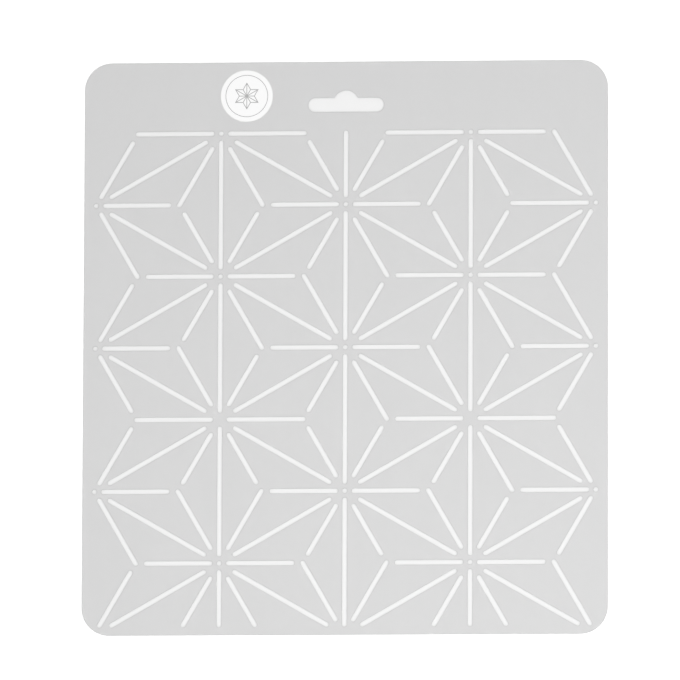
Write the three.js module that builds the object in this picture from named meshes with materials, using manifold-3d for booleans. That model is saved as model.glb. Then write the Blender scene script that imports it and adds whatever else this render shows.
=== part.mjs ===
// Drawing stencil: a thin frosted plastic sheet with a hemp-leaf star pattern routed through it as
// slots, a hang slot in its header, and a round paper label stuck down beside the hang slot.
// Millimetres, +Z up. The sheet lies flat on Z = 0, centred on the Z axis, its header towards +Y.
import * as THREE from "three";
import { mergeVertices } from "three/addons/utils/BufferGeometryUtils.js";
import Module from "manifold-3d";

// Star lattice: upright columns of star centres, each column half a pitch out of step with the next
const STAR_PITCH = 60; // between star centres down a column
const COLUMNS = 5;
const LEVELS = 7; // half pitches from the first star centre down to the bottom edge

// Sheet
const SHEET_THICKNESS = 0.4;
const HEADER = 30; // top edge to the first star centre
const SIDE_MARGIN = 5; // outer columns to the side edges
const FOOT_MARGIN = 3.3; // bottom edge to the nearest slot
const CORNER_RADIUS = 11.5;

// Slots and centre dots
const SLOT_WIDTH = 2;
const DOT_DIAMETER = 2;
const STRAIGHT_BRIDGE = 2.8; // star centre to the tips of upright and level slots
const SLANT_BRIDGE = 6.4; // star centre to the tips of slanted slots
const RIM_BRIDGE = 3.2; // the same for steep slots on the two outer columns, which have no uprights
const TRIANGLE_BRIDGE = 3.4; // triangle centre to the tips of slots that stop short of it

// Three slots meet in each triangle of the lattice and one of them runs on to its centre: the one
// from the star above, across or below. One row of letters for each level, one letter a strip.
const RUNS_ON = ["CCCB", "AAAC", "ABAB", "BABA", "CCAC", "BBBA", "ABBB"];
const UNDRILLED_LEVEL = 4; // the star centres at this level have no dot

// Hang slot: a level bar with round ends and a round crown on its upper side
const HANG_LENGTH = 31.6;
const HANG_HEIGHT = 6;
const HANG_DROP = 18.2; // top edge to the bar's centre line
const CROWN_RADIUS = 5.3;
const CROWN_RISE = 3.1; // crown's top above the bar

// Label
const LABEL_DIAMETER = 21.8;
const LABEL_OFFSET = 41.4; // hang slot's centre to the label's centre
const LABEL_DROP = 14.2; // top edge to the label's centre
const ADHESIVE_THICKNESS = 0.03;
const PAPER_THICKNESS = 0.1;

// Segments of round outlines, counted as ExtrudeGeometry does: an arc has twice as many
const SLOT_END_STEPS = 2;
const DOT_STEPS = 4;
const CORNER_STEPS = 4;
const HANG_STEPS = 5;
const LABEL_STEPS = 24;
const CUT_OVERRUN = 1; // how far a cutter stands past both faces of the sheet

const columnPitch = STAR_PITCH * Math.cos(Math.PI / 6);
const levelPitch = STAR_PITCH / 2;
const sheetWidth = (COLUMNS - 1) * columnPitch + 2 * SIDE_MARGIN;
const sheetHeight = HEADER + LEVELS * levelPitch;
const topEdge = sheetHeight / 2;
const lowestSlotCentre = -sheetHeight / 2 + FOOT_MARGIN + SLOT_WIDTH / 2;

const wasm = await Module();
wasm.setup();

function solid(shape, bottom, top, steps) {
  const geometry = new THREE.ExtrudeGeometry(shape, {
    depth: top - bottom,
    bevelEnabled: false,
    curveSegments: steps,
  });
  geometry.translate(0, 0, bottom);
  geometry.deleteAttribute("normal");
  geometry.deleteAttribute("uv");
  const merged = mergeVertices(geometry);
  return new wasm.Manifold(
    new wasm.Mesh({
      numProp: 3,
      vertProperties: new Float32Array(merged.attributes.position.array),
      triVerts: new Uint32Array(merged.index.array),
    }),
  );
}

function cutter(shape, steps) {
  return solid(shape, -CUT_OVERRUN, SHEET_THICKNESS + CUT_OVERRUN, steps);
}

function geometryOf(manifold) {
  const mesh = manifold.getMesh();
  const geometry = new THREE.BufferGeometry();
  geometry.setAttribute("position", new THREE.BufferAttribute(mesh.vertProperties, 3));
  geometry.setIndex(new THREE.BufferAttribute(mesh.triVerts, 1));
  geometry.computeVertexNormals();
  return geometry;
}

function piece(name, geometry, look) {
  const mesh = new THREE.Mesh(geometry, new THREE.MeshStandardMaterial(look));
  mesh.name = name;
  return mesh;
}

// Lattice places
const isTall = (column) => column % 2 === 1; // tall columns start at the first level
const isRim = (column) => column === 0 || column === COLUMNS - 1;
const hasStar = (column, level) => (level % 2 === 0) === isTall(column);

function latticePoint(column, level) {
  const x = (column - (COLUMNS - 1) / 2) * columnPitch;
  return new THREE.Vector2(x, topEdge - HEADER - level * levelPitch);
}

// A slot along the line from one point to another, its round ends centred the given distances
// short of the two points, and pulled back up its own line where it would pass the foot margin
function slotAlong(from, to, shortOfFrom, shortOfTo) {
  const along = to.clone().sub(from).normalize();
  const start = from.clone().addScaledVector(along, shortOfFrom);
  const end = to.clone().addScaledVector(along, -shortOfTo);
  for (const tip of [start, end]) {
    const tooLow = lowestSlotCentre - tip.y;
    if (tooLow > 0) tip.addScaledVector(along, tooLow / along.y);
  }
  const radius = SLOT_WIDTH / 2;
  const heading = along.angle();
  const left = heading + Math.PI / 2;
  const outline = new THREE.Shape();
  outline.absarc(end.x, end.y, radius, heading - Math.PI / 2, left);
  outline.absarc(start.x, start.y, radius, left, left + Math.PI);
  return outline;
}

const straightEnd = STRAIGHT_BRIDGE + SLOT_WIDTH / 2;
const slantEnd = SLANT_BRIDGE + SLOT_WIDTH / 2;
const rimEnd = RIM_BRIDGE + SLOT_WIDTH / 2;
const triangleEnd = TRIANGLE_BRIDGE + SLOT_WIDTH / 2;

// Uprights join the stars of each inner column, from the first level down to the bottom edge
function uprights() {
  const slots = [];
  for (let column = 1; column < COLUMNS - 1; column += 1) {
    for (let level = isTall(column) ? 0 : -1; level < LEVELS; level += 2) {
      const top = latticePoint(column, Math.max(level, 0));
      const bottom = latticePoint(column, level + 2);
      slots.push(slotAlong(top, bottom, level < 0 ? 0 : straightEnd, straightEnd));
    }
  }
  return slots;
}

// Leaf edges join each star to its neighbours in the next column
function leafEdges() {
  const slots = [];
  for (let strip = 0; strip < COLUMNS - 1; strip += 1) {
    for (let level = 0; level < LEVELS; level += 1) {
      const upper = hasStar(strip, level) ? strip : strip + 1;
      const lower = 2 * strip + 1 - upper;
      const from = latticePoint(upper, level);
      slots.push(slotAlong(from, latticePoint(lower, level + 1), slantEnd, slantEnd));
    }
  }
  return slots;
}

// Leaf veins run from the three stars of a triangle towards the triangle's centre
function leafVeins() {
  const slots = [];
  for (let strip = 0; strip < COLUMNS - 1; strip += 1) {
    for (let level = 0; level <= LEVELS; level += 1) {
      const across = hasStar(strip, level) ? strip : strip + 1;
      const upright = 2 * strip + 1 - across;
      const centre = latticePoint(upright + (across - upright) / 3, level);
      const steepEnd = isRim(upright) ? rimEnd : slantEnd;
      const row = RUNS_ON[level % RUNS_ON.length];
      const runsOn = level < LEVELS ? row[strip % row.length] : "";
      const end = (letter) => (letter === runsOn ? 0 : triangleEnd);
      if (level > 0) {
        slots.push(slotAlong(latticePoint(upright, level - 1), centre, steepEnd, end("A")));
      }
      if (level < LEVELS) {
        slots.push(slotAlong(latticePoint(across, level), centre, straightEnd, end("C")));
        slots.push(slotAlong(latticePoint(upright, level + 1), centre, steepEnd, end("B")));
      }
    }
  }
  return slots;
}

function starDots() {
  const dots = [];
  for (let column = 0; column < COLUMNS; column += 1) {
    for (let level = 0; level < LEVELS; level += 1) {
      if (!hasStar(column, level) || level === UNDRILLED_LEVEL) continue;
      const centre = latticePoint(column, level);
      dots.push(new THREE.Shape().absarc(centre.x, centre.y, DOT_DIAMETER / 2, 0, 2 * Math.PI));
    }
  }
  return dots;
}

// Hang slot, drawn round from the bar's right end
function hangSlot() {
  const barY = topEdge - HANG_DROP;
  const radius = HANG_HEIGHT / 2;
  const reach = HANG_LENGTH / 2 - radius;
  const crownY = barY + radius + CROWN_RISE - CROWN_RADIUS;
  const crownFoot = Math.asin(1 - CROWN_RISE / CROWN_RADIUS);
  const outline = new THREE.Shape();
  outline.absarc(reach, barY, radius, -Math.PI / 2, Math.PI / 2);
  outline.absarc(0, crownY, CROWN_RADIUS, crownFoot, Math.PI - crownFoot);
  outline.absarc(-reach, barY, radius, Math.PI / 2, (3 * Math.PI) / 2);
  return outline;
}

function sheetBlank() {
  const x = sheetWidth / 2 - CORNER_RADIUS;
  const y = topEdge - CORNER_RADIUS;
  const quarter = Math.PI / 2;
  const outline = new THREE.Shape();
  outline.absarc(x, y, CORNER_RADIUS, 0, quarter);
  outline.absarc(-x, y, CORNER_RADIUS, quarter, 2 * quarter);
  outline.absarc(-x, -y, CORNER_RADIUS, 2 * quarter, 3 * quarter);
  outline.absarc(x, -y, CORNER_RADIUS, 3 * quarter, 4 * quarter);
  return solid(outline, 0, SHEET_THICKNESS, CORNER_STEPS);
}

function stencilSheet() {
  const slots = [...uprights(), ...leafEdges(), ...leafVeins()];
  const cuts = [
    ...slots.map((outline) => cutter(outline, SLOT_END_STEPS)),
    ...starDots().map((outline) => cutter(outline, DOT_STEPS)),
    cutter(hangSlot(), HANG_STEPS),
  ];
  return geometryOf(cuts.reduce((sheet, cut) => sheet.subtract(cut), sheetBlank()));
}

// Label, die-cut through paper and adhesive together
function labelDisc(thickness) {
  const outline = new THREE.Shape().absarc(0, 0, LABEL_DIAMETER / 2, 0, 2 * Math.PI);
  return geometryOf(solid(outline, 0, thickness, LABEL_STEPS));
}

const frosted = { color: 0xdcdddb, roughness: 0.55, metalness: 0 };
const gum = { color: 0xefece0, roughness: 0.35, metalness: 0 };
const paper = { color: 0xf7f7f5, roughness: 0.7, metalness: 0 };

const label = new THREE.Group();
label.position.set(-LABEL_OFFSET, topEdge - LABEL_DROP, SHEET_THICKNESS);
const labelAdhesive = piece("label_adhesive", labelDisc(ADHESIVE_THICKNESS), gum);
const labelPaper = piece("label_paper", labelDisc(PAPER_THICKNESS), paper);
labelPaper.position.z = ADHESIVE_THICKNESS;
label.add(labelAdhesive, labelPaper);

const stencil = new THREE.Group();
stencil.add(piece("stencil_sheet", stencilSheet(), frosted), label);

export default stencil;
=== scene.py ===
# %% [markdown]
# # A hemp-leaf drawing stencil
# The object is one thin sheet of frosted plastic with the lines of a traditional hemp-leaf pattern
# cut through it as narrow slots, so that a pencil or a chalk pen can draw the pattern on cloth. A
# round paper label is stuck on its header. Everything below takes its place and size from the packed
# solids, which are loaded first and never moved.

# %% Load the frame
import math

import bmesh
import bpy
from mathutils import Matrix, Vector
from mathutils.geometry import delaunay_2d_cdt


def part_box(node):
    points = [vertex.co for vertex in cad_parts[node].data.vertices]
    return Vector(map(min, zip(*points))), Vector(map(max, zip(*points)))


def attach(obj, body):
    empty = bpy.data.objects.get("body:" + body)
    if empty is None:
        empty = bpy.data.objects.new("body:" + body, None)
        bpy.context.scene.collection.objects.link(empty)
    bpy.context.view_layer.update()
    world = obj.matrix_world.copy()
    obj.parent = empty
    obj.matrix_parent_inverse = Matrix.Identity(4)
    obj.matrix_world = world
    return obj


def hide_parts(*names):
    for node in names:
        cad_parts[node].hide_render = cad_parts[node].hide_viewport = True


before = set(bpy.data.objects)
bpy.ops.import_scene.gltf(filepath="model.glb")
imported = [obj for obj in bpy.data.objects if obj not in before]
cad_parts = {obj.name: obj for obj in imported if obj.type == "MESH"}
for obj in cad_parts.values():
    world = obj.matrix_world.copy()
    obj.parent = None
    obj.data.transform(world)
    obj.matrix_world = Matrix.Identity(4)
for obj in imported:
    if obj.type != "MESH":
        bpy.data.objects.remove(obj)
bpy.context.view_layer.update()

MM = 0.001  # the frame is in metres, the sizes in this lesson are in millimetres

print("Solids:", ", ".join(sorted(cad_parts)))

# %% [markdown]
# ## The rims of the sheet
# A sheet cut by a router is known by its rims: one round the outside and one round every slot, dot
# and hang hole. You could draw all of them again here, but then two drawings would have to agree.
# The solid already has them, as the edges where its upper face ends, so we walk along those. Each rim
# runs with the plastic on its left.

# %% Read the rims
WELD = 0.001 * MM  # points closer than this are one point
UPWARD = 0.9  # a face whose normal rises more than this is part of the upper face


def read_rims(node):
    solid = bmesh.new()
    solid.from_mesh(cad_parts[node].data)
    bmesh.ops.remove_doubles(solid, verts=solid.verts, dist=WELD)
    following = {}
    for face in solid.faces:
        if face.normal.z < UPWARD:
            continue
        for corner in face.loops:
            if corner.link_loop_radial_next.face.normal.z < UPWARD:
                following[corner.vert] = corner.link_loop_next.vert
    rims = []
    while following:
        first, vert = following.popitem()
        rim = [first.co.xy]
        while vert is not first:
            rim.append(vert.co.xy)
            vert = following.pop(vert)
        rims.append(rim)
    solid.free()
    return rims


sheet_rims = read_rims("stencil_sheet")
print("Sheet rims:", len(sheet_rims), "with", sum(map(len, sheet_rims)), "points")

# %% [markdown]
# ## Round ends that are round
# The solids are faceted, because collision needs few faces: half a slot end is two chords. A bit
# leaves a true arc. Between two equal chords the rim turns by the angle that each chord spans, and
# the arc stands above the middle of its chord by half the chord times the tangent of a quarter of
# that angle. So we can put a new point in the middle of every chord, exactly on the arc, and do the
# same again for a finer arc. Straight runs are told from chords by their length.

# %% Refine the arcs
LONGEST_CHORD = 3 * MM  # the corner arcs have chords of 2.3 mm, the shortest straight run is 8 mm
ARC_PASSES = 2  # each pass doubles the chords


def runs_of(rim):
    return [end - start for start, end in zip(rim, rim[1:] + rim[:1])]


def left_of(run):
    return Vector((-run.y, run.x))


def turn_between(before, after):
    return math.atan2(before.cross(after), before.dot(after))


def with_arc_points(rim):
    runs = runs_of(rim)
    finer = []
    for place, (start, run) in enumerate(zip(rim, runs)):
        finer.append(start)
        if run.length > LONGEST_CHORD:
            continue
        before, after = runs[place - 1], runs[(place + 1) % len(runs)]
        if before.length < LONGEST_CHORD:
            turn = turn_between(before, run)
        else:
            turn = turn_between(run, after)
        finer.append(start + run / 2 - left_of(run) * math.tan(turn / 4) / 2)
    return finer


def rounded(rims):
    for _ in range(ARC_PASSES):
        rims = [with_arc_points(rim) for rim in rims]
    return rims


sheet_rims = rounded(sheet_rims)
print("Sheet rims refined to", sum(map(len, sheet_rims)), "points")

# %% [markdown]
# ## A flat piece with eased edges
# The sheet and its label are both flat pieces with a cut rim. A real cut is never a perfect corner:
# the bit melts and drags the plastic a little, and a die presses paper down at its rim, so the edge
# catches light as a fine line. A bevel modifier could do it, but it stumbles over slot ends this
# small. We build the piece in rings instead: each ring is the set of all rims, drawn in from the cut
# by some way and set at some height. Every ring also carries a number, cut, which is 1 at the edge
# and fades to 0 on the flat faces, and the material uses it to tint a band along the edge: painted
# shade beside every cut on the sheet, a greyer pressed rim on the label.

# %% Plan the rings
EASE_STEPS = 2  # facets in each eased edge


def draw_in_directions(rim):
    """For each point of a rim, the way into the piece that keeps all its runs parallel."""
    lefts = [left_of(run.normalized()) for run in runs_of(rim)]
    pairs = zip(lefts[-1:] + lefts[:-1], lefts)
    return [(before + after) / (1 + before.dot(after)) for before, after in pairs]


def eased_profile(low, high, ease, edge_band):
    """The rings of a flat piece from its upper face to its underside: draw-in, height and cut."""
    upper = [(ease + edge_band, high, 0.0)]
    lower = [(ease + edge_band, low, 0.0)]
    for step in range(EASE_STEPS + 1):
        angle = math.pi / 2 * step / EASE_STEPS
        draw_in, drop = ease * (1 - math.sin(angle)), ease * (1 - math.cos(angle))
        upper.append((draw_in, high - drop, 1.0))
        lower.append((draw_in, low + drop, 1.0))
    return upper + lower[::-1]


sharpest = max(way.length for rim in sheet_rims for way in draw_in_directions(rim))
print("At its sharpest corner the sheet's rim draws in", round(sharpest, 2), "times as far")

# %% [markdown]
# ## From rings to a piece
# Walls join each ring to the next and a triangle fill closes both faces. The walls are shaded smooth,
# which lets the few facets of an eased edge pass for a curve, while the flat faces stay flat. A piece
# with no open edges is closed all round, so it is worth counting them.

# %% Build a flat piece
LEVEL = 1 - 1e-6  # a face whose normal is this close to upright is one of the two flat faces


def finished(name, mesh):
    """Turn a bmesh into a piece of the scene and say how it came out."""
    volume = round(mesh.calc_volume() / MM**3, 2)
    open_edges = sum(not edge.is_manifold for edge in mesh.edges)
    print(name, "has", len(mesh.faces), "faces,", volume, "cubic mm,", open_edges, "open edges")
    piece = bpy.data.objects.new(name, bpy.data.meshes.new(name))
    mesh.to_mesh(piece.data)
    mesh.free()
    bpy.context.scene.collection.objects.link(piece)
    return piece


def flat_piece(name, rims, low, high, ease, edge_band):
    mesh = bmesh.new()
    cut = mesh.verts.layers.float.new("cut")
    ways_in = [draw_in_directions(rim) for rim in rims]
    rings = []
    for draw_in, height, cut_here in eased_profile(low, high, ease, edge_band):
        ring = []
        for rim, ways in zip(rims, ways_in):
            points = [point + way * draw_in for point, way in zip(rim, ways)]
            ring.append([mesh.verts.new((point.x, point.y, height)) for point in points])
        for vert in sum(ring, []):
            vert[cut] = cut_here
        rings.append(ring)
    for ring, next_ring in zip(rings, rings[1:]):
        for upper, lower in zip(ring, next_ring):
            for place in range(len(upper)):
                wall = (upper[place - 1], lower[place - 1], lower[place], upper[place])
                mesh.faces.new(wall).smooth = True
    for ring, normal in ((rings[0], (0, 0, 1)), (rings[-1], (0, 0, -1))):
        ends = [(rim[place - 1], rim[place]) for rim in ring for place in range(len(rim))]
        edges = [mesh.edges.get(pair) for pair in ends]
        bmesh.ops.triangle_fill(mesh, use_beauty=True, edges=edges, normal=normal)
    bmesh.ops.recalc_face_normals(mesh, faces=mesh.faces)
    for face in mesh.faces:
        if abs(face.normal.z) > LEVEL:
            face.smooth = False
    return finished(name, mesh)


# %% [markdown]
# ## The stencil sheet
# The sheet is a single piece of plastic, cut right through. Its solid could simply be given a
# material, but the solid's arcs are faceted and its edges perfectly sharp, so a piece built on the
# refined rims stands for it. The router dulls an edge by about a twentieth of a millimetre, and a
# narrow band beside every cut is painted darker, as painted shade along the slot edges.

# %% Make the stencil sheet
SHEET_EASE = 0.05 * MM
# width of the band of painted shade beside every cut
EDGE_SHADE_BAND = 0.3 * MM

sheet_low, sheet_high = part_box("stencil_sheet")
stencil_sheet = flat_piece(
    "frosted_stencil_sheet", sheet_rims, sheet_low.z, sheet_high.z, SHEET_EASE, EDGE_SHADE_BAND
)
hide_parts("stencil_sheet")
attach(stencil_sheet, "root")

# %% [markdown]
# ## The label
# The label was die-cut from a roll: a disc of coated paper on a film of adhesive. The solid of the
# adhesive is right as it is, a hairline under the rim. The paper gets a truly round rim whose upper
# edge was pressed down by the die. It ends a hair below the top of its solid, because the print that
# comes next has a thickness too, and the two together have to fit the solid's height.

# %% Make the label paper
PAPER_EASE = 0.03 * MM
PRESSED_BAND = 0.25 * MM
INK_FILM = 0.015 * MM  # thickness of the print

paper_low, paper_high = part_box("label_paper")
paper_top = paper_high.z - INK_FILM
paper_rims = rounded(read_rims("label_paper"))
label_paper = flat_piece(
    "die_cut_label", paper_rims, paper_low.z, paper_top, PAPER_EASE, PRESSED_BAND
)
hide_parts("label_paper")
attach(label_paper, "root")
label_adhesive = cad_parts["label_adhesive"]

# %% [markdown]
# ## The print on the label
# The label carries a plain generic print in grey ink: one star of the pattern inside a thin ring. Ink
# is a film, and an image texture would draw it, but a mesh stays sharp at any distance. Each line is
# a strip with four corners. The ring is made of short strips that share their ends.

# %% Draw the print's strips
STAR_RADIUS = 5.4 * MM
STAR_POINTS = 6
PRINT_LINE = 0.3 * MM
RING_RADIUS = 8.6 * MM
RING_LINE = 0.26 * MM
RING_STEPS = 96

label_centre = ((paper_low + paper_high) / 2).xy


def around(radius, turns):
    angle = math.tau * turns
    return label_centre + radius * Vector((-math.sin(angle), math.cos(angle)))


def strip(start, end):
    along = (end - start).normalized() * PRINT_LINE / 2
    aside = left_of(along)
    return [start - along - aside, end + along - aside, end + along + aside, start - along + aside]


# The tips of a six-pointed star lie farther out than its notches by the square root of three
notch_radius = STAR_RADIUS / math.sqrt(3)
tips = [around(STAR_RADIUS, point / STAR_POINTS) for point in range(STAR_POINTS)]
notches = [around(notch_radius, (point + 0.5) / STAR_POINTS) for point in range(STAR_POINTS)]
strips = []
for point in range(STAR_POINTS):
    strips.append(strip(tips[point], notches[point]))
    strips.append(strip(tips[point], notches[point - 1]))
for point in range(STAR_POINTS // 2):
    strips.append(strip(tips[point], tips[point - STAR_POINTS // 2]))
    strips.append(strip(notches[point], notches[point - STAR_POINTS // 2]))
for step in range(RING_STEPS):
    start, end = step / RING_STEPS, (step + 1) % RING_STEPS / RING_STEPS
    corners = ((0, start), (RING_LINE, start), (RING_LINE, end), (0, end))
    strips.append([around(RING_RADIUS + out, turns) for out, turns in corners])
print("Print strips:", len(strips))

# %% [markdown]
# ## One film of ink
# The strips cross in many places, and faces that cut through each other flicker. Boolean modifiers
# would join them one by one. It is simpler to give all the strips to the constrained Delaunay
# triangulation, keep the triangles that lie inside at least one strip, and build a film on those: a
# top, an underside, and a wall along every outer side. Real ink is thinner than this film, but would
# be lost in rounding.

# %% Fuse the strips into one ink film
FUSE = 0.0005 * MM  # crossings closer than this are one point
STRIP_CORNERS = 4
WHOLE_HULL = 0  # the triangulation's mode that also fills what lies between the strips

corners = [corner for outline in strips for corner in outline]
starts = range(0, len(corners), STRIP_CORNERS)
outlines = [range(start, start + STRIP_CORNERS) for start in starts]
points, _, triangles, _, _, insides = delaunay_2d_cdt(corners, [], outlines, WHOLE_HULL, FUSE)
inked = [triangle for triangle, strips_here in zip(triangles, insides) if strips_here]
sides = [side for triangle in inked for side in zip(triangle, triangle[1:] + triangle[:1])]
crossed = set(sides)  # a side that also runs the other way lies between two triangles
ink = bmesh.new()
lower = [ink.verts.new((*point, paper_top)) for point in points]
upper = [ink.verts.new((*point, paper_high.z)) for point in points]
for triangle in inked:
    ink.faces.new([upper[place] for place in triangle])
    ink.faces.new([lower[place] for place in reversed(triangle)])
for start, end in sides:
    if (end, start) not in crossed:
        ink.faces.new((lower[start], lower[end], upper[end], upper[start]))
label_print = finished("label_print", ink)
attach(label_print, "root")

# %% [markdown]
# ## Before the materials
# A few small helpers. Colours are written as a designer would, in sRGB hex, and shaders want linear
# light. Pattern scales are written as the real size of what repeats. One function adds a node with
# its settings and links: it finds a socket by its identifier, which unlike its name is never shared.
# And every material starts empty, with the object's own coordinates at hand, so that its patterns
# stay on the object when it moves.

# %% Helpers for materials


def linear(hex_colour):
    """The sRGB curve, as its standard gives it."""
    channels = [int(hex_colour[place : place + 2], 16) / 255 for place in (1, 3, 5)]
    return [c / 12.92 if c <= 0.04045 else ((c + 0.055) / 1.055) ** 2.4 for c in channels] + [1.0]


def repeats_every(millimetres):
    return 1 / (millimetres * MM)


def add_node(tree, kind, inputs=None, **settings):
    node = tree.nodes.new("ShaderNode" + kind)
    for name, value in settings.items():
        setattr(node, name, value)
    sockets = {socket.identifier: socket for socket in node.inputs}
    for name, value in (inputs or {}).items():
        if isinstance(value, bpy.types.Node):
            value = next(output for output in value.outputs if output.enabled)
        if isinstance(value, bpy.types.NodeSocket):
            tree.links.new(value, sockets[name])
        else:
            sockets[name].default_value = value
    return node


def new_material(name):
    material = bpy.data.materials.new(name)
    material.use_nodes = True
    tree = material.node_tree
    tree.nodes.clear()
    return material, tree, add_node(tree, "TexCoord").outputs["Object"]


print("The grey #808080 is", round(linear("#808080")[0], 3), "in linear light")

# %% [markdown]
# ## Frosted polypropylene
# The sheet is natural polypropylene, extruded and chilled between two matt rollers. The plastic is
# milky by itself and the matt faces scatter what comes through, so the eye gets an even neutral grey
# on white paper, with no clear view of what lies below. A scattering volume could do that, but it is
# slow and noisy in a sheet this thin. Principled's transmission with a high roughness does it at the
# surface: part of the light goes through to the paper and comes back. The rollers leave a fine grain.
# Slow clouds and faint streaks along the extruder's run keep the grey alive.

# %% Frosted polypropylene
MILKY = "#EEEEEE"
MILKY_CLOUD = "#EBEBEB"
# painted shade: the darker grey of the band beside every cut and of the cut walls
PAINTED_EDGE_SHADE = "#DBDBDB"
CLOUD_SIZE = 38  # mm
STREAK_WIDTH = 5  # mm, across the extruder's run
STREAK_SQUEEZE = (1.0, 0.02, 1.0)  # along the run a streak is fifty times as long as it is wide
GRAIN_SIZE = 0.6  # mm, the rollers' grit of about 0.1 mm drawn six times as coarse so that it shows
GRAIN_DEPTH = 0.03 * MM
SEE_THROUGH = 0.3  # share of the light that goes through to the paper


def frosted_polypropylene():
    material, tree, place = new_material("polypropylene_extruded_matt")
    clouds = add_node(
        tree, "TexNoise", {"Vector": place, "Scale": repeats_every(CLOUD_SIZE), "Detail": 3.0}
    )
    squeezed = add_node(tree, "Mapping", {"Vector": place, "Scale": STREAK_SQUEEZE})
    streaks = add_node(
        tree, "TexNoise", {"Vector": squeezed, "Scale": repeats_every(STREAK_WIDTH), "Detail": 2.0}
    )
    mottle = add_node(tree, "Math", {"Value": clouds, "Value_001": streaks}, operation="MULTIPLY")
    milk = add_node(
        tree,
        "Mix",
        {"Factor_Float": mottle, "A_Color": linear(MILKY), "B_Color": linear(MILKY_CLOUD)},
        data_type="RGBA",
    )
    # The cut band takes a darker grey, a painted shade along every slot, dot and outer edge
    cut = add_node(tree, "Attribute", attribute_name="cut")
    tint = add_node(
        tree,
        "Mix",
        {"Factor_Float": cut.outputs["Fac"], "A_Color": milk, "B_Color": linear(PAINTED_EDGE_SHADE)},
        data_type="RGBA",
    )
    grain = add_node(
        tree, "TexNoise", {"Vector": place, "Scale": repeats_every(GRAIN_SIZE), "Detail": 2.0}
    )
    matt = add_node(tree, "MapRange", {"Value": grain, "To Min": 0.45, "To Max": 0.65})
    relief = add_node(tree, "Bump", {"Height": grain, "Strength": 0.25, "Distance": GRAIN_DEPTH})
    plastic = {"Base Color": tint, "Roughness": matt, "Normal": relief, "IOR": 1.49}
    shader = add_node(tree, "BsdfPrincipled", {**plastic, "Transmission Weight": SEE_THROUGH})
    add_node(tree, "OutputMaterial", {"Surface": shader})
    return material


stencil_sheet.data.materials.append(frosted_polypropylene())
print("Sheet:", stencil_sheet.data.materials[0].name)

# %% [markdown]
# ## Coated label paper
# Label paper is filled and coated with white clay, then pressed smooth. It gives the eye a bright,
# nearly neutral white with a soft sheen, a little formation mottle when the light is low, and a
# slightly greyer line where the die pressed its rim. Bare paper would need some subsurface light, but
# the clay hides that, so a plain base with a satin gloss is enough.

# %% Coated label paper
PAPER_WHITE = "#FCFCFC"
PAPER_FLOC = "#FAFAFA"
PAPER_CUT = "#EEEEED"
FLOC_SIZE = 1.8  # mm
FIBRE_WIDTH = 0.25  # mm, the coated fibres of about 0.03 mm drawn coarser so that they show
FIBRE_DEPTH = 0.01 * MM


def coated_paper():
    material, tree, place = new_material("label_paper_clay_coated")
    floc = add_node(
        tree, "TexNoise", {"Vector": place, "Scale": repeats_every(FLOC_SIZE), "Detail": 4.0}
    )
    sheet = add_node(
        tree,
        "Mix",
        {"Factor_Float": floc, "A_Color": linear(PAPER_WHITE), "B_Color": linear(PAPER_FLOC)},
        data_type="RGBA",
    )
    cut = add_node(tree, "Attribute", attribute_name="cut")
    tint = add_node(
        tree,
        "Mix",
        {"Factor_Float": cut.outputs["Fac"], "A_Color": sheet, "B_Color": linear(PAPER_CUT)},
        data_type="RGBA",
    )
    fibres = add_node(
        tree, "TexNoise", {"Vector": place, "Scale": repeats_every(FIBRE_WIDTH), "Detail": 3.0}
    )
    satin = add_node(tree, "MapRange", {"Value": fibres, "To Min": 0.42, "To Max": 0.58})
    relief = add_node(tree, "Bump", {"Height": fibres, "Strength": 0.12, "Distance": FIBRE_DEPTH})
    paper = {"Base Color": tint, "Roughness": satin, "Normal": relief, "IOR": 1.5}
    shader = add_node(tree, "BsdfPrincipled", paper)
    add_node(tree, "OutputMaterial", {"Surface": shader})
    return material


label_paper.data.materials.append(coated_paper())
print("Label:", label_paper.data.materials[0].name)

# %% [markdown]
# ## Acrylic adhesive
# The glue is a clear acrylic coat. Only its edge shows, as a faintly yellow hairline that has picked
# up a little dust. Clear glue under paper sends the paper's own colour back, so it needs no glass: a
# pale base, tacky where it is clean and dull where the dust sits, gives the same line.

# %% Acrylic adhesive
GLUE = "#EFEBDD"
DUSTY_GLUE = "#D9D5C8"
DUST_SIZE = 0.8  # mm


def acrylic_adhesive():
    material, tree, place = new_material("acrylic_adhesive_coat")
    dust = add_node(
        tree, "TexNoise", {"Vector": place, "Scale": repeats_every(DUST_SIZE), "Detail": 4.0}
    )
    tint = add_node(
        tree,
        "Mix",
        {"Factor_Float": dust, "A_Color": linear(GLUE), "B_Color": linear(DUSTY_GLUE)},
        data_type="RGBA",
    )
    tacky = add_node(tree, "MapRange", {"Value": dust, "To Min": 0.25, "To Max": 0.5})
    shader = add_node(tree, "BsdfPrincipled", {"Base Color": tint, "Roughness": tacky, "IOR": 1.47})
    add_node(tree, "OutputMaterial", {"Surface": shader})
    return material


label_adhesive.data.materials.clear()
label_adhesive.data.materials.append(acrylic_adhesive())
print("Adhesive:", label_adhesive.data.materials[0].name)

# %% [markdown]
# ## Printing ink
# A grey offset ink, dried matt on the coating. Its density wanders a little where the plate pressed
# more or less, which gives fine lines their printed look. A thin print is also a dull one, so the
# same noise drives the colour and the gloss.

# %% Printing ink
INK_GREY = "#A2A2A2"
INK_THIN = "#B8B8B8"
DENSITY_SIZE = 0.9  # mm


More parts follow.
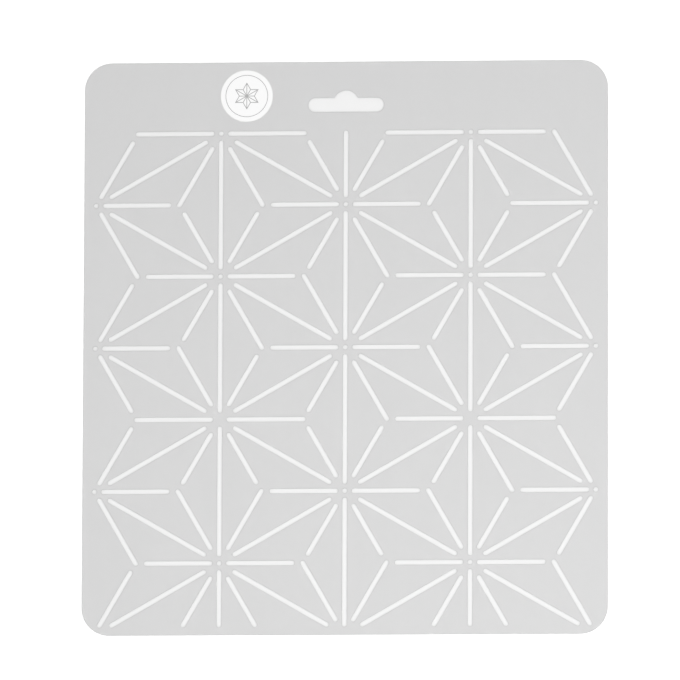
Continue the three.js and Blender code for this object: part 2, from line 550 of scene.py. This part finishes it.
def offset_ink():
    material, tree, place = new_material("grey_offset_ink")
    density = add_node(
        tree, "TexNoise", {"Vector": place, "Scale": repeats_every(DENSITY_SIZE), "Detail": 3.0}
    )
    tint = add_node(
        tree,
        "Mix",
        {"Factor_Float": density, "A_Color": linear(INK_GREY), "B_Color": linear(INK_THIN)},
        data_type="RGBA",
    )
    dried = add_node(tree, "MapRange", {"Value": density, "To Min": 0.5, "To Max": 0.65})
    shader = add_node(tree, "BsdfPrincipled", {"Base Color": tint, "Roughness": dried, "IOR": 1.5})
    add_node(tree, "OutputMaterial", {"Surface": shader})
    return material


label_print.data.materials.append(offset_ink())
print("Print:", label_print.data.materials[0].name)

# %% [markdown]
# ## A white table
# The sheet lies on white paper that fills the view. A hair's gap keeps the sheet's underside and the
# paper from being the same plane, which would flicker.

# %% Lay the table paper
PAPER_GAP = 0.05 * MM
PAPER_SIDE = 8.0  # metres

half_side = PAPER_SIDE / 2
ways = ((-1, -1), (1, -1), (1, 1), (-1, 1))
table = bpy.data.objects.new("white_table", bpy.data.meshes.new("white_table"))
table_corners = [(x * half_side, y * half_side, -PAPER_GAP) for x, y in ways]
table.data.from_pydata(table_corners, [], [range(len(ways))])
bpy.context.scene.collection.objects.link(table)
print("Table paper:", PAPER_SIDE, "m square,", round(PAPER_GAP / MM, 3), "mm below the sheet")

# %% [markdown]
# ## Paper as white as the page
# White paper is not quite white in a render, and more light would burn out the label. So around the
# sheet the camera also sees some light of the paper's own, which lights nothing else: Light Path
# tells what is seen, straight or in a gloss or through plastic, from light on its way to the object.
# Under the sheet the paper stays plain, and the slots show it as it is.

# %% Uncoated table paper
TABLE_PAPER = "#F4F4F4"
TABLE_SHADE = "#F2F2F2"
TOOTH_SIZE = 2.5  # mm
LIFT = 0.36  # the paper's own light, enough to take paper far from the lamp to white
SHEET_CORNER = 11.5 * MM  # radius of the sheet's corners
HIDDEN_MARGIN = 0.2 * MM  # the lift starts this far inside the sheet's edge, unseen
ANY_HEIGHT = 1.0  # metres, so tall that height never counts as distance from the sheet


def in_sight(tree):
    """1 on what is seen and 0 on what only lights the object."""
    ray = add_node(tree, "LightPath")
    mirrored = add_node(
        tree,
        "Math",
        {"Value": ray.outputs["Is Glossy Ray"], "Value_001": ray.outputs["Is Transmission Ray"]},
        operation="MAXIMUM",
    )
    straight = ray.outputs["Is Camera Ray"]
    return add_node(tree, "Math", {"Value": straight, "Value_001": mirrored}, operation="MAXIMUM")


def white_paper():
    material, tree, place = new_material("table_paper_uncoated")
    tooth = add_node(
        tree, "TexNoise", {"Vector": place, "Scale": repeats_every(TOOTH_SIZE), "Detail": 3.0}
    )
    tint = add_node(
        tree,
        "Mix",
        {"Factor_Float": tooth, "A_Color": linear(TABLE_PAPER), "B_Color": linear(TABLE_SHADE)},
        data_type="RGBA",
    )
    paper = add_node(tree, "BsdfDiffuse", {"Color": tint})
    # Distance from the sheet's core, which is its outline without the round corners
    core = (sheet_high.x - SHEET_CORNER, sheet_high.y - SHEET_CORNER, ANY_HEIGHT)
    aside = add_node(tree, "VectorMath", {"Vector": place}, operation="ABSOLUTE")
    past = add_node(tree, "VectorMath", {"Vector": aside, "Vector_001": core}, operation="SUBTRACT")
    clear = add_node(tree, "VectorMath", {"Vector": past}, operation="MAXIMUM")
    distance = add_node(tree, "VectorMath", {"Vector": clear}, operation="LENGTH")
    around_sheet = add_node(
        tree,
        "Math",
        {"Value": distance.outputs["Value"], "Value_001": SHEET_CORNER - HIDDEN_MARGIN},
        operation="GREATER_THAN",
    )
    lift = add_node(tree, "Math", {"Value": around_sheet, "Value_001": LIFT}, operation="MULTIPLY")
    seen_lift = {"Value": in_sight(tree), "Value_001": lift}
    strength = add_node(tree, "Math", seen_lift, operation="MULTIPLY")
    glow = add_node(tree, "Emission", {"Strength": strength})
    both = add_node(tree, "AddShader", {"Shader": paper, "Shader_001": glow})
    add_node(tree, "OutputMaterial", {"Surface": both})
    material.cycles.emission_sampling = "NONE"
    return material


table.data.materials.append(white_paper())
print("Table:", table.data.materials[0].name)

# %% [markdown]
# ## Soft studio light
# The picture is lit like a copy stand in a white room: even light from all round, and one soft box
# above the lower right, so the sheet is a touch brighter there. The box hangs high: a low lamp would
# throw the sheet's own shadow into its slots and narrow them. Both together light a flat white card
# to about white and no more.

# %% Light the room
WALL_WHITE = "#FFFFFF"
ROOM_STRENGTH = 0.712
BACKDROP_STRENGTH = 1.0  # what is seen past the table is plain white


def white_room():
    room = bpy.data.worlds.new("white_room")
    room.use_nodes = True
    tree = room.node_tree
    tree.nodes.clear()
    white = linear(WALL_WHITE)
    walls = add_node(tree, "Background", {"Color": white, "Strength": ROOM_STRENGTH})
    backdrop = add_node(tree, "Background", {"Color": white, "Strength": BACKDROP_STRENGTH})
    mixed = add_node(
        tree, "MixShader", {"Fac": in_sight(tree), "Shader": walls, "Shader_001": backdrop}
    )
    add_node(tree, "OutputWorld", {"Surface": mixed})
    return room


bpy.context.scene.world = white_room()
print("Room:", ROOM_STRENGTH, "of white from all round")

# %% Hang the soft box
SOFT_BOX_WATTS = 2.1
SOFT_BOX_SIDE = 0.3  # metres
SOFT_BOX_PLACE = Vector((0.16, -0.21, 0.72))  # metres

soft_box = bpy.data.objects.new("soft_box", bpy.data.lights.new("soft_box", "AREA"))
soft_box.data.energy = SOFT_BOX_WATTS
soft_box.data.size = SOFT_BOX_SIDE
soft_box.location = SOFT_BOX_PLACE
soft_box.rotation_euler = SOFT_BOX_PLACE.to_track_quat("Z", "Y").to_euler()
bpy.context.scene.collection.objects.link(soft_box)
print("Soft box:", SOFT_BOX_WATTS, "W at", [round(value, 2) for value in SOFT_BOX_PLACE], "m")

# %% [markdown]
# ## The camera
# The sheet was shot almost straight down from far away with a long lens, so parallel slots stay
# parallel. The view leans a little towards the foot and the right-hand side. A tracking constraint
# could aim the camera, but it would not give the roll. So we place the camera by its two angles about
# the aim point, then roll it until the sheet stands upright.

# %% Place the camera
AZIMUTH = 24.25  # degrees from the foot of the sheet, towards the right
ELEVATION = 80.8  # degrees above the table
ROLL = -24.32  # degrees
DISTANCE = 5.0  # metres
LENS = 638.7  # mm, on a 36 mm sensor
AIM = Vector((-2.2, 3.03, 0.4)) * MM
FARTHEST_SEEN = 20.0  # metres, past the far edge of the table

turned = Matrix.Rotation(math.radians(AZIMUTH), 4, "Z")
lifted = Matrix.Rotation(math.radians(90 - ELEVATION), 4, "X")
rolled = Matrix.Rotation(math.radians(ROLL), 4, "Z")
drawn_back = Matrix.Translation((0, 0, DISTANCE))
camera = bpy.data.objects.new("copy_camera", bpy.data.cameras.new("copy_camera"))
camera.data.lens = LENS
camera.data.clip_end = FARTHEST_SEEN
camera.matrix_world = Matrix.Translation(AIM) @ turned @ lifted @ rolled @ drawn_back
bpy.context.scene.collection.objects.link(camera)
bpy.context.scene.camera = camera
bpy.context.scene.view_settings.view_transform = "Standard"
print("Camera at", [round(value, 3) for value in camera.matrix_world.translation], "m")
